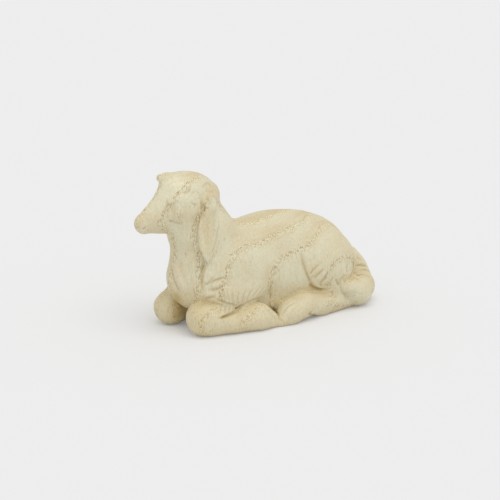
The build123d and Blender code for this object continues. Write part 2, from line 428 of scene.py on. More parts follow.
HEAD_STROKES = {
    "lower_eyelid": (0.3, 0.34, [(169.5, 220.5), (172, 221), (175.5, 222.6), (180, 223.7), (183, 222.6)]),
    "eye_corner": (0.35, 0.5, [(169.3, 221), (171, 221.4), (172.6, 221.6)]),
    "upper_eyelid": (0.4, 0.07, [(171, 209), (175, 204.5), (181, 203), (186, 206), (189, 212)]),
    "eyeball": (2.2, -0.6, [(174, 213), (178, 213.5), (182, 214)]),
    "nose_fold": (0.32, 0.32, [(167, 199), (166.3, 205), (166.5, 210), (167.2, 214)]),
    "second_nose_fold": (0.25, 0.2, [(170.3, 202), (169.6, 207), (170, 212)]),
    "nostril": (0.25, 0.3, [(142.4, 229.3), (144, 228.6), (145.6, 227.5)]),
    "brow_lock": (0.35, 0.35, [(183.5, 193.2), (186.7, 192.3), (190, 190.2)]),
    "brow_lock_top": (0.4, 0.06, [(180.5, 190), (183, 187.5), (187, 186), (191, 187)]),
    "cap_edge": (0.5, 0.12, [(166, 186.5), (170, 184), (175, 182), (181, 180.5), (187, 178.5)]),
    "cap_stroke": (0.45, 0.1, [(172, 176), (179, 175.5), (187, 175), (194, 174.5)]),
    "temple_curl": (0.35, 0.2, [(190.7, 198), (192, 193.8), (196, 191.8), (200, 195), (201, 200)]),
    "temple_curl_end": (0.4, 0.3, [(191, 201), (192.5, 204), (195, 205.3), (197.5, 204)]),
    "back_curl": (0.4, 0.22, [(203, 189.5), (204.5, 185.5), (209, 183.7), (214, 187)]),
    "back_curl_low": (0.4, 0.2, [(206, 192), (210, 190.5), (215, 192.5)]),
    "ear_pocket": (0.34, 0.6, [(203.5, 198), (202, 203), (203, 208), (204.3, 211.5), (203, 216),
                                (200.5, 222)]),
    "ear_fold": (0.32, 0.45, [(203.5, 206), (206, 208.7), (208.7, 208.7)]),
    "ear_hollow": (1.3, 0.2, [(207.5, 214), (207.5, 225), (208, 238), (209, 251)]),
    "ear_front_rim": (0.5, -0.25, [(201, 222), (199.3, 233), (200.3, 246), (205, 258)]),
    "ear_rear_edge": (0.35, 0.22, [(219, 214), (218.7, 227), (216.7, 239), (213.3, 250), (211, 256)]),
}

SIDE_STROKES = {
    "shoulder_edge": (0.32, 0.38, [(205, 263), (202.3, 268), (201.5, 276), (202, 285), (202.5, 293)]),
    "lock_one": (0.8, -0.35, [(211, 272), (207.5, 279), (204.5, 283)]),
    "lock_one_under": (0.35, 0.35, [(214, 277), (210, 281.5), (205, 285.5)]),
    "lock_two_over": (0.35, 0.4, [(226, 277), (219, 279.5), (213, 281.5), (210, 285)]),
    "lock_two": (0.85, -0.65, [(222, 282), (216, 285), (211, 287)]),
    "lock_two_under": (0.35, 0.4, [(225, 284), (220, 288), (214, 289.5), (209, 289.5)]),
    "lock_three": (0.75, -0.6, [(213, 293), (208, 294.5), (204, 296)]),
    "lock_three_under": (0.35, 0.35, [(216, 296.5), (210, 297.5), (204, 298.5)]),
    "fringe_edge": (0.36, 0.5, [(214, 298), (222, 301.5), (228, 303.8), (233, 305), (238, 308)]),
    "fringe_edge_rear": (0.4, 0.3, [(239, 308), (244, 304), (250, 301.5), (256, 299), (262, 298.5)]),
    "fringe_one": (0.28, 0.24, [(222, 299.5), (219, 293), (218, 288)]),
    "fringe_two": (0.28, 0.28, [(226, 301), (223, 294), (222.5, 288)]),
    "fringe_three": (0.28, 0.26, [(230, 303), (227.5, 296), (227, 290)]),
    "fringe_four": (0.28, 0.3, [(234, 305), (232.5, 298), (233, 291)]),
    "fringe_five": (0.28, 0.3, [(238, 307), (238, 299), (240, 291)]),
    "fringe_six": (0.28, 0.28, [(242, 305), (243.5, 297), (247, 289)]),
    "fringe_seven": (0.28, 0.3, [(246.5, 302.5), (249.5, 295), (254, 288)]),
    "fringe_eight": (0.28, 0.26, [(251, 300.5), (255, 294), (260, 288)]),
    "fringe_nine": (0.28, 0.24, [(256, 299), (260.5, 293), (265, 287)]),
    "belly_groove": (0.6, 0.16, [(270, 268), (268.5, 280), (269, 292), (272, 301)]),
    "flank_line_one": (0.3, 0.07, [(279, 262), (279, 278), (281, 292)]),
    "flank_line_two": (0.3, 0.07, [(286, 258), (287, 275), (289, 289)]),
    "flank_line_three": (0.3, 0.07, [(293, 256), (295, 272), (298, 286)]),
    "thigh_crease": (0.4, 0.42, [(301, 252), (303, 262), (305.5, 271), (309, 280), (313, 287)]),
    "thigh_underside": (0.36, 0.8, [(308.5, 284), (312.8, 287), (318, 289.3), (326, 290.3)]),
    "thigh_lock_one_over": (0.3, 0.28, [(319, 264.5), (314, 269.5), (309.5, 275)]),
    "thigh_lock_one": (0.7, -0.28, [(321, 267), (316, 272), (312, 276.5)]),
    "thigh_lock_one_under": (0.35, 0.35, [(324, 268.5), (319, 274), (314, 279)]),
    "thigh_lock_two": (0.7, -0.28, [(325.5, 272), (321, 277.5), (317.5, 282)]),
    "thigh_lock_two_under": (0.35, 0.4, [(328.5, 273), (324, 279), (320.5, 284), (322, 287)]),
    "thigh_lock_three": (0.7, -0.22, [(330, 276), (327, 281), (325, 286)]),
    "thigh_lock_three_under": (0.3, 0.32, [(333.5, 276), (331, 281), (328.5, 287)]),
    "thigh_slit": (0.35, 0.5, [(335.5, 279), (337.5, 283), (339.5, 286.5)]),
    "rear_lock": (0.35, 0.28, [(349, 263), (347, 268), (347.5, 274)]),
    "hoof_split": (0.3, 0.22, [(281.5, 317), (285, 309.5), (291, 304.5), (299, 300.5)]),
    "hoof_split_two": (0.28, 0.16, [(287.5, 321), (290.5, 313.5), (296, 307.5), (302, 304)]),
    "hoof_meeting": (0.38, 0.45, [(270.5, 307), (275, 311.5), (279, 317), (282.5, 322)]),
    "pastern_notch": (0.5, 0.5, [(312, 311), (314, 316), (317, 321)]),
    "fetlock_line": (0.4, 0.15, [(262, 303.5), (268, 310), (274, 317), (281, 323)]),
    "forearm_gap": (0.36, 0.8, [(219.5, 318.7), (226, 316), (233, 313), (240, 309.5)]),
    "elbow_line_one": (0.28, 0.22, [(222, 303), (221, 309), (220, 315)]),
    "elbow_line_two": (0.28, 0.26, [(226, 304.5), (225.5, 309), (225, 313.5)]),
    "elbow_line_three": (0.28, 0.26, [(230, 306), (229.7, 309.5), (229.5, 312.5)]),
    "elbow_line_four": (0.28, 0.24, [(234, 307), (233.8, 309), (233.5, 310.8)]),
    "elbow_pocket": (0.45, 0.8, [(235, 309.5), (239.5, 307.3), (244, 304.7)]),
}

SINGLE_STROKES = {
    "chest_ridge": (1.1, -0.4, [(171, 256), (174, 267), (178, 277), (182, 286), (187, 297)]),
    "chest_furrow": (0.42, 0.36, [(170.5, 263), (172, 272), (175, 283), (180, 292)]),
    "chest_outer_ridge": (0.7, -0.25, [(167.5, 268), (169, 277), (172, 284)]),
    "breast_furrow": (0.6, 0.14, [(176, 258), (180, 268), (184, 279), (188, 290), (191, 301)]),
    "breast_line": (0.5, 0.12, [(188, 258), (190, 272), (193, 288), (195, 300)]),
    "tail_root_crease": (0.4, 0.6, [(353.5, 256), (354.5, 264), (353, 271), (350.5, 276.5)]),
    "tail_stroke_one": (0.35, 0.3, [(356, 257.5), (359, 258.5), (362, 260)]),
    "tail_stroke_two": (0.35, 0.4, [(355.5, 266), (361, 265.5), (367.5, 266.5)]),
    "tail_stroke_three": (0.35, 0.45, [(355, 270.8), (362, 270), (369.5, 272)]),
    "tail_stroke_four": (0.4, 0.5, [(355, 275.3), (362, 274), (371.5, 278.5)]),
    "tuft_edge": (0.34, 0.3, [(350.5, 276.3), (346, 276), (342.3, 277.8), (340.3, 282), (340.7, 287),
                               (342.5, 292), (346, 297), (350.3, 301)]),
    "tuft_stroke_one": (0.28, 0.24, [(343.5, 278), (345, 281), (347.5, 284)]),
    "tuft_stroke_two": (0.28, 0.24, [(346.5, 277), (348.5, 280), (351, 283)]),
    "tuft_stroke_three": (0.28, 0.24, [(349.5, 276.8), (352, 279.5), (355, 282)]),
    "tuft_stroke_four": (0.28, 0.24, [(352.5, 276), (356, 278), (360, 280.5)]),
    "tuft_stroke_five": (0.28, 0.24, [(354.5, 273), (359, 275.5), (364, 278.5)]),
    "tuft_outer_stroke": (0.4, 0.1, [(347, 288), (352, 292), (360, 294), (367, 292)]),
}


def on_sides(line, paired, on_head):
    """A line and, if it is paired, its mirror image."""
    if not paired:
        return [line]
    if on_head:
        return [line, out_of_head(in_head(line) * (1, -1, 1))]
    return [line, line * (1, -1, 1)]


def placed_strokes():
    """Every stroke as (points on the surface, half width, depth), the paired ones on both sides."""
    groups = ((HEAD_STROKES, True, True), (SIDE_STROKES, True, False), (SINGLE_STROKES, False, False))
    strokes = [stroke + group[1:] for group in groups for stroke in group[0].values()]
    counts = [len(pixels) for _, _, pixels, _, _ in strokes]
    seen = from_photo(np.concatenate([pixels for _, _, pixels, _, _ in strokes]))
    lines, sizes = [], []
    for points, (half_width, depth, _, paired, on_head) in zip(split(seen, counts), strokes):
        for line in on_sides(smooth_line(points), paired, on_head):
            lines.append(line)
            sizes.append((half_width, depth))
    lines = split(onto_surface(np.concatenate(lines)), [len(line) for line in lines])
    return [(line, half_width, depth) for line, (half_width, depth) in zip(lines, sizes)]


def line_distance(p, line):
    """Distance from a line, and the place of its nearest point from 0 to 1 along it."""
    best, place = np.full(len(p), 1e9), np.zeros(len(p))
    for index, (a, b) in enumerate(zip(line[:-1], line[1:])):
        along = b - a
        t = np.clip(((p - a) @ along) / max(along @ along, 1e-9), 0, 1)
        away = np.linalg.norm(p - (a + t[:, None] * along), axis=1)
        closer = away < best
        best[closer] = away[closer]
        place[closer] = (index + t[closer]) / (len(line) - 1)
    return best, place


STROKES = placed_strokes()

# A stroke's profile reaches this many half widths to each side
STROKE_SPREAD = 1.5
STROKE_MARGIN = 0.8  # mm round the profile in which a stroke is worked out
# The share of a stroke over which each of its ends runs out, and of its depth that is left there
STROKE_TAPER = 0.25
STROKE_END = 0.2
# Painted shade in the cuts: a stroke wider than this gets less of it, as a narrow cut looks darker
SHADED_WIDTH = 0.40
SHADE_FALL = 1.5


def cut_depth(p, d, as_shade=False):
    """How deep the strokes cut at each point, less how high the swellings stand there; asked for shade,
    each cut gives its painted shade instead of its depth.
    """
    cut, swell = np.zeros(len(p)), np.zeros(len(p))
    for line, half_width, deep in STROKES:
        margin = half_width * STROKE_SPREAD + STROKE_MARGIN
        near = inside_box(p, line.min(0) - margin, line.max(0) + margin)
        if not len(near):
            continue
        away, place = line_distance(p[near], line)
        lateral = np.sqrt(np.maximum(away ** 2 - d[near] ** 2, 0))
        profile = np.clip(1 - lateral / (half_width * STROKE_SPREAD), 0, 1)
        from_end = np.minimum(place, 1 - place)
        profile = profile * np.clip(from_end / STROKE_TAPER + STROKE_END, 0, 1)
        # Painted shade in a cut, fullest in the narrow ones
        if deep > 0 and as_shade:
            stain = deep * min(1.0, SHADED_WIDTH / half_width) * profile ** SHADE_FALL
            cut[near] = np.maximum(cut[near], stain)
        elif deep > 0:
            cut[near] = np.maximum(cut[near], deep * profile)
        else:
            swell[near] = np.minimum(swell[near], deep * profile * profile * (3 - 2 * profile))
    return cut + swell


# Year rings: their pore bands by pixels of the photograph, one list for each ring

RING_TRACES = {
    "haunch": [(327.5, 279.4), (329.7, 268.4), (335.3, 260.6), (340.8, 259), (346.3, 261.7)],
    "flank": [(270.5, 288), (270.2, 277), (273.5, 268.4), (280, 259.5), (286.7, 254), (295.6, 249.6),
              (302.2, 249.6), (308.8, 244), (313.2, 235.3), (318.7, 228.7), (324.2, 224.3), (329.7, 223.7)],
    "shoulder": [(219, 293), (222, 286), (224, 276), (228, 268), (231.6, 257.3), (240.4, 248.5),
                 (250.4, 243), (261.4, 240.8), (271.3, 235.3), (280, 230.9), (291.2, 225.4),
                 (301, 219.8), (308.8, 215.4)],
    "back": [(239.3, 222), (252.6, 223.2), (261.4, 218.7), (274.6, 213.2), (284.5, 210.5)],
    "head": [(168, 199.7), (174, 196), (180, 191.5), (184, 186), (190, 180.5), (196, 176.5), (200, 174.5)],
}
# Pixels of the plain wood beside a traced ring, with their place across the rings from it, in mm
RING_SIDES = {
    "haunch": [((341, 268), -3.2), ((344, 274), -3.6), ((338, 274), -3.2), ((330, 255), 1.6)],
    "flank": [((252, 284), 2.2), ((258, 290), 1.9), ((262, 282), 1.4), ((262, 272), 1.4), ((250, 276), 2.3),
              ((278, 290), -2.6), ((285, 275), -3.0), ((290, 262), -2.6)],
    "shoulder": [((240, 262), -2.6), ((232, 276), -2.4), ((222, 262), 1.8), ((230, 246), 1.8),
                 ((208, 322), -1.0), ((212, 314), -1.2), ((222, 309), -1.4), ((229, 311), -2.0)],
    "back": [((198, 236), -0.8), ((200.5, 260), -0.8), ((202, 274), -0.8), ((202, 286), -0.8),
             ((206, 222), -3.6), ((207, 240), -3.6), ((208, 252), -3.6)],
}
# Rings that the traces leave out, as steps in millimetres from one that is traced
OTHER_RINGS = (("haunch", -8.0), ("head", 5.4), ("head", 10.6), ("head", 16.0))
RING_REACH = 8.0  # mm round an anchor in which it bends the sheets
RING_EASE = 0.3  # how strongly the fit holds those bends back
RING_CURVE = 100.0  # brings the square of X to the size of the other terms


def ring_terms(p, anchors):
    near = np.exp(-((p[:, None] - anchors) ** 2).sum(-1) / RING_REACH ** 2)
    return np.column_stack([p[:, 0], p[:, 0] ** 2 / RING_CURVE, p[:, 2], near])


def fitted_rings():
    """Sheets across the block that pass through the traced bands: anchors, weights and places."""
    pixels, steps, member = [], [], []
    for ring, (name, trace) in enumerate(RING_TRACES.items()):
        beside = RING_SIDES.get(name, [])
        pixels += trace + [pixel for pixel, step in beside]
        steps += [0.0] * len(trace) + [step for pixel, step in beside]
        member += [ring] * (len(trace) + len(beside))
    points = from_photo(pixels)
    anchors = points[::2]
    terms = ring_terms(points, anchors)
    rows = np.hstack([terms, -np.eye(len(RING_TRACES))[member]])
    ease = np.zeros((len(anchors), rows.shape[1]))
    ease[:, terms.shape[1] - len(anchors):terms.shape[1]] = np.eye(len(anchors)) * RING_EASE
    wanted = np.concatenate([steps - points[:, 1], np.zeros(len(anchors))])
    found = np.linalg.lstsq(np.vstack([rows, ease]), wanted, rcond=None)[0]
    weights, places = np.split(found, [terms.shape[1]])
    places = dict(zip(RING_TRACES, places))
    extra = [places[name] + step for name, step in OTHER_RINGS]
    return anchors, weights, sorted(list(places.values()) + extra)


RING_ANCHORS, RING_WEIGHTS, RING_PLACES = fitted_rings()


def across_rings(p):
    return p[:, 1] + ring_terms(p, RING_ANCHORS) @ RING_WEIGHTS


CROSSING_REACH = 0.2  # mm to each side over which the slope of the rings is taken
MOST_SPREAD = 2.5  # the widest that a band is taken to lie, in traced widths


def crossing(p, normals):
    """How fast the rings pass under a point that moves along the surface."""
    steps = sum(way * across_rings(p + way * CROSSING_REACH)[:, None] for way in TETRAHEDRON)
    slope = steps / (len(TETRAHEDRON) * CROSSING_REACH)
    level = slope - normals * (slope * normals).sum(1, keepdims=True)
    return np.linalg.norm(level, axis=1)


def traced_crossing():
    traced = from_photo([pixel for trace in RING_TRACES.values() for pixel in trace])
    return np.median(crossing(traced, gradient(rough_form, traced)))


TRACED_CROSSING = traced_crossing()


def ring_spread(p_and_normals):
    """How many times wider a band lies on the surface than the traced ones do."""
    p, normals = p_and_normals[:, :3], p_and_normals[:, 3:]
    return np.clip(TRACED_CROSSING / np.maximum(crossing(p, normals), 1e-3), 1.0, MOST_SPREAD)


# Hand-cut unevenness: a smooth random lattice, sampled at any point

LATTICE_SEED = 7
LATTICE_SIDE = 64
LATTICE_START = 500.0  # cells, which keeps the cell of every point above 0
LATTICE = np.random.default_rng(LATTICE_SEED).uniform(-1, 1, (LATTICE_SIDE,) * 3)


def ripple(p, size):
    q = p / size + LATTICE_START
    cell = np.floor(q).astype(int)
    f = q - cell
    f = f * f * (3 - 2 * f)
    total = 0.0
    for corner in np.ndindex(2, 2, 2):
        weight = np.where(corner, f, 1 - f).prod(axis=1)
        x, y, z = ((cell + corner) % LATTICE_SIDE).T
        total = total + weight * LATTICE[x, y, z]
    return total


# The facets that the knife leaves, in millimetres
TOOL_FACET = 3.2
TOOL_DEPTH = 0.10
FINE_FACET = 1.1
FINE_DEPTH = 0.035
SKIN_DEPTH = 1.6  # how near the surface strokes and facets are worked out
NORMAL_REACH = 0.10  # how far round a point its normal is taken


def carving(p, labels=False):
    d, label = rough_form(p, labels=True)
    surface = np.abs(d) < SKIN_DEPTH
    q, near = p[surface], d[surface]
    near = near + cut_depth(q, near)
    near = near + ripple(q, TOOL_FACET) * TOOL_DEPTH + ripple(q, FINE_FACET) * FINE_DEPTH
    d[surface] = smooth_max(near, -q[:, 2], BASE_EDGE)
    return (d, label) if labels else d


# Patches of other wood, and of painted light and painted shade, as a radius, a strength and pixels
# along the patch. Below 0 the wood is paler than that of the fleece, up to 1 it is warmer, and from 1 to 2
# it turns brown.
HEAD_PATCHES = {
    # brow and nose_bridge: painted light on the forehead and the bridge of the nose
    "brow": (4.0, -0.9, [(160, 193), (168, 190), (177, 187)]),
    "nose_bridge": (2.4, -0.4, [(158, 198), (150, 208)]),
    "eye": (2.4, 0.6, [(175, 213), (184, 213)]),
    "ear": (2.4, 0.75, [(208, 217), (207.5, 232), (208, 249)]),
    # ear_pocket: painted shade in the pocket at the ear's root
    "ear_pocket": (0.5, 1.2, [(203, 203), (203.5, 209), (203.3, 216)]),
    "nose": (1.6, 0.8, [(138, 224), (141, 219)]),
}
SIDE_PATCHES = {
    # knee_top and knee_face: the wood's warm tone, and painted shade under the chest and the fringe
    "knee_top": (2.2, 1.35, [(200, 305), (208, 303), (215, 303)]),
    "knee_face": (2.6, 1.1, [(196, 313), (198, 321)]),
    # forearm_gap, belly_pit and thigh_hollow: painted shade in the gap, under the belly and under the thigh
    "forearm_gap": (0.6, 1.5, [(222, 318), (232, 313.5), (241, 308)]),
    "belly_pit": (2.4, 0.9, [(271, 301), (277, 304), (283, 300)]),
    "thigh_hollow": (0.9, 2.0, [(311, 286), (315, 288.5), (322, 290)]),
    "hoof_face": (2.6, -0.3, [(286, 311), (299, 304)]),
    "cannon_top": (1.1, 1.2, [(298, 294), (306, 292.5), (318, 292.5), (329, 294)]),
    # shoulder_edge: painted shade in the crease where the shoulder overlaps the chest
    "shoulder_edge": (0.6, 0.9, [(203, 262), (202, 276), (202.5, 292)]),
}
SINGLE_PATCHES = {
    "tail": (3.0, 0.6, [(358, 258), (366, 270), (368, 280)]),
    # far_knee: the wood's warm tone, and painted shade under the chest
    "far_knee": (3.0, 1.8, [(177, 297), (180, 306), (179, 314)]),
    "tuft_top": (1.3, 1.1, [(343, 279), (349, 277.5), (357, 279)]),
    # tail_root: painted shade in the crease at the tail's root
    "tail_root": (0.8, 1.6, [(353, 262), (353, 270), (351, 276)]),
}
PATCH_REACH = 2.5  # radii round a patch in which it counts
WARM_EDGE = 1.6  # mm over which the legs' wood turns into the fleece's
LEG_WARMTH = 0.6
WARM_PARTS = ("forearm", "fore_cannon", "fore_hoof", "hind_hoof", "forelock")


def placed_patches():
    patches = []
    for group, paired, on_head in (
        (HEAD_PATCHES, True, True), (SIDE_PATCHES, True, False), (SINGLE_PATCHES, False, False),
    ):
        for radius, strength, pixels in group.values():
            for line in on_sides(smooth_line(from_photo(pixels)), paired, on_head):
                patches.append((line, radius, strength))
    return patches


PATCHES = placed_patches()


def warmth(p):
    """How warm the wood is: 0 on the fleece, above it on the legs, and as the patches say, which also carry
    painted light and painted shade.
    """
    legs, fleece = np.full(len(p), FAR), np.full(len(p), FAR)
    for (name, form, _), box in zip(FORMS, BOXES):
        near = inside_box(p, *box)
        if len(near):
            group = legs if name.endswith(WARM_PARTS) else fleece
            group[near] = np.minimum(group[near], form(p[near]))
    warm = LEG_WARMTH * np.clip(0.5 + (fleece - legs) / WARM_EDGE, 0, 1)
    for line, radius, strength in PATCHES:
        margin = PATCH_REACH * radius
        near = inside_box(p, line.min(0) - margin, line.max(0) + margin)
        if len(near):
            share = np.exp(-((line_distance(p[near], line)[0] / radius) ** 2))
            change = strength - warm[near]
            warm[near] += share * (np.maximum(change, 0) if strength > 0 else change)
    return warm


# Meshing: every form becomes its own closed shell, and neighbours share the line between them

CHUNK = 20000
WORKERS = 4
SKIN_ROUNDS = 2  # moves of the outer vertices onto the surface


def spread(function, points):
    """A function of many points, worked out in parts at the same time."""
    parts = [points[i:i + CHUNK] for i in range(0, len(points), CHUNK)]
    with ThreadPoolExecutor(WORKERS) as pool:
        done = list(pool.map(function, parts))
    if isinstance(done[0], tuple):
        return tuple(np.concatenate(column) for column in zip(*done))
    return np.concatenate(done)


def labelled_grid(step):
    """Distance and form label on a regular grid; the label is -1 outside the wood."""
    counts = np.ceil((HIGH - LOW) / step).astype(int) + 1
    coarse_counts = (counts - 1) // COARSE_CELLS + 2
    coarse = np.argwhere(np.ones(coarse_counts, bool))
    rough = spread(rough_form, LOW + coarse * step * COARSE_CELLS).reshape(coarse_counts)
    nearest = [np.round(np.arange(n) / COARSE_CELLS).astype(int) for n in counts]
    wanted = rough[np.ix_(*nearest)] < step * COARSE_CELLS
    values = np.full(counts, FAR)
    labels = np.full(counts, -1, np.int16)
    points = LOW + np.argwhere(wanted) * step
    d, label = spread(lambda p: carving(p, labels=True), points)
    values[wanted] = d
    labels[wanted] = np.where(d < 0, label, -1)
    return values, labels


def boundary_cells(labels):
    """The grid cells whose corners have more than one label, and a grid of their numbers."""
    cells = np.array(labels.shape) - 1
    first = labels[:-1, :-1, :-1]
    mixed = np.zeros(cells, bool)
    for dx, dy, dz in np.ndindex(2, 2, 2):
        mixed |= labels[dx:dx + cells[0], dy:dy + cells[1], dz:dz + cells[2]] != first
    ids = np.argwhere(mixed)
    numbers = np.full(cells, -1, np.int64)
    numbers[mixed] = np.arange(len(ids))
    return ids, numbers


def cell_points(ids, values, labels):
    """A point for each of these cells, in cells, and whether it is on the outside of the wood."""
    sums, counts = np.zeros((2, len(ids), 3)), np.zeros((2, len(ids)))
    for corner in np.ndindex(2, 2, 2):
        for axis in range(3):
            if corner[axis]:
                continue
            other = list(corner)
            other[axis] = 1
            a, b = tuple((ids + corner).T), tuple((ids + other).T)
            open_edge = (labels[a] < 0) != (labels[b] < 0)
            wall_edge = (labels[a] != labels[b]) & ~open_edge
            fall = np.where(open_edge, values[a] - values[b], 1)
            point = np.tile(np.array(corner, float), (len(ids), 1))
            point[:, axis] += np.where(open_edge, values[a] / fall, 0.5)
            for kind, edge in enumerate((open_edge, wall_edge)):
                sums[kind, edge] += point[edge]
                counts[kind, edge] += 1
    is_outer = counts[0] > 0
    outer, inner = sums / np.maximum(counts, 1)[:, :, None]
    return ids + np.where(is_outer[:, None], outer, inner), is_outer


def shell_quads(labels, numbers):
    """The quads of every form's closed shell, one for each grid edge that crosses it."""
    cells = numbers.shape
    shells = {form: [] for form in range(len(FORMS))}
    for axis in range(3):
        across = [k for k in range(3) if k != axis]
        near_label, far_label = np.delete(labels, -1, axis), np.delete(labels, 0, axis)
        edges = np.argwhere(near_label != far_label)
        inside = np.ones(len(edges), bool)
        for k in across:
            inside &= (edges[:, k] > 0) & (edges[:, k] < cells[k])
        edges = edges[inside]
        quads = []
        for da, db in ((0, 0), (1, 0), (1, 1), (0, 1)):
            cell = edges.copy()
            cell[:, across[0]] -= da
            cell[:, across[1]] -= db
            quads.append(numbers[tuple(cell.T)])
        quads = np.stack(quads, 1)
        if axis == 1:
            quads = quads[:, ::-1]
        near_here, far_here = near_label[tuple(edges.T)], far_label[tuple(edges.T)]
        for form in shells:
            shells[form].append(quads[near_here == form])
            shells[form].append(quads[far_here == form][:, ::-1])
    return {form: np.concatenate(parts) for form, parts in shells.items()}


def carved_pieces(step):
    """Vertices with their normals and marks, and the quads of every form's shell."""
    values, labels = labelled_grid(step)
    ids, numbers = boundary_cells(labels)
    points, is_outer = cell_points(ids, values, labels)
    vertices = LOW + points * step
    skin = vertices[is_outer]
    slope = spread(lambda p: gradient(carving, p), skin)
    for _ in range(SKIN_ROUNDS):
        skin = skin - slope * np.clip(spread(carving, skin), -step / 2, step / 2)[:, None]
    skin[:, 2] = np.maximum(skin[:, 2], 0.0)
    vertices[is_outer] = skin
    normals = np.tile((0.0, 0.0, 1.0), (len(vertices), 1))
    normals[is_outer] = spread(lambda p: gradient(carving, p, NORMAL_REACH), skin)
    # Painted shade in the strokes' cuts, kept on the outer vertices
    cut_shades = np.zeros(len(vertices))
    cut_shades[is_outer] = spread(lambda p: cut_depth(p, rough_form(p), as_shade=True), skin)
    marks = {
        "stain": cut_shades,
        "warm": spread(warmth, vertices),
        "ring": spread(across_rings, vertices),
        "ring_spread": spread(ring_spread, np.hstack([vertices, normals])),
    }
    return vertices, normals, marks, shell_quads(labels, numbers)


def added(name, data):
    """A new object of the scene."""
    made = bpy.data.objects.new(name, data)
    bpy.context.collection.objects.link(made)
    return made


def make_piece(name, vertices, normals, marks, quads, material):
    used, local = np.unique(quads, return_inverse=True)
    local = local.reshape(quads.shape)
    mesh = bpy.data.meshes.new(name)
    mesh.from_pydata((vertices[used] * MM).tolist(), [], local.tolist())
    mesh.polygons.foreach_set("use_smooth", [True] * len(mesh.polygons))
    mesh.normals_split_custom_set_from_vertices(normals[used].tolist())
    for mark, values in marks.items():
        layer = mesh.attributes.new(mark, "FLOAT", "POINT")
        layer.data.foreach_set("value", values[used].astype(np.float32))
    mesh.materials.append(material)
    piece = added(name, mesh)
    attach(piece, "root")
    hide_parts(name)


# Wood: fibres run up the block, and each year ring starts with a band of open pores

PORE_BAND = 2.0  # mm of open pores that start each ring
RING_STEP = 0.15  # mm from the tan end of one ring to the pores of the next
RING_MARGIN = 3.0  # mm of plain wood past the outermost rings
RING_RAGGEDNESS = 1.3  # mm over which the noise shifts a ring
PORE_SIZE = (0.30, 0.30, 1.0)  # mm, the last one along the fibre
PORE_RIM = (0.50, 0.30)  # where a pore starts and where it is fully open, in pore sizes
STRAY_LEVELS = (0.68, 0.80)  # the noise at which a stray pore starts and is fully open
STRAY_SHARE = 0.60
STRAYS_ON_LEGS = 0.06
PORE_SHARE = 0.85
# Noise cells in a millimetre, along X, Y and the fibre
RAGGED_GRAIN = (0.9, 0.9, 0.5)
STRAY_GRAIN = (2.6, 2.6, 0.7)
PATCH_GRAIN = (0.13, 0.13, 0.13)
FIBRE_GRAIN = (3.0, 3.0, 0.20)
SPECK_GRAIN = (2.4, 2.4, 1.6)
STREAK_ACROSS, STREAK_ALONG = 1.3, 0.10
# Shares of a colour on the sides of the fibres, and what is added where they end at the surface
TAN_ON_SIDES, TAN_ON_ENDS = 0.25, 0.75
EARLY_ON_SIDES, EARLY_ON_ENDS = 0.12, 0.80
TAN_OF_ENDS = 0.15  # also outside the late wood
MOST_WARM = 0.85  # the share of WARM_AND_SHADE where the warmth is 1
# The low and high of a noise, and what these turn into
STREAKS = (0.30, 0.70, 0.35, 1.35)
TAN_PATCHES = (0.35, 0.75, 0.0, 0.55)
FIBRE_TONES = (0.25, 0.75, -0.08, 0.05)
SPECK_TONES = (0.25, 0.75, 0.90, 1.10)
# Painted shade in the cuts: it goes from none to full over these depths of cut
SHADE_DEPTHS = (0.02, 0.60)  # mm of cut over which the wood turns to HOLLOW_SHADE
# How far the fibres, the specks and the pores stand out or go in, in bump units
FIBRE_HEIGHT, SPECK_HEIGHT, PORE_DEPTH = 0.05, 0.07, 0.15
BUMP_STRENGTH = 0.7
ROUGHNESS, SPECK_ROUGHNESS = 0.55, 0.20
SHINE = 0.30
CREAM = (0.735, 0.695, 0.510, 1)
TAN = (0.670, 0.560, 0.350, 1)
EARLY = (0.860, 0.775, 0.520, 1)
# Pale wood, and painted light on the brow and the nose bridge
PALE_AND_LIT = (0.840, 0.785, 0.570, 1)
# Warm wood, and painted shade in the pits and creases that the patches mark
WARM_AND_SHADE = (0.700, 0.595, 0.365, 1)
PORE = (0.430, 0.265, 0.055, 1)
# Brown wood, and painted shade in the pockets, gaps and creases and under the chest
BROWN_AND_SHADE = (0.500, 0.370, 0.150, 1)
# The colour of painted shade in cuts and grooves
HOLLOW_SHADE = (0.400, 0.290, 0.120, 1)


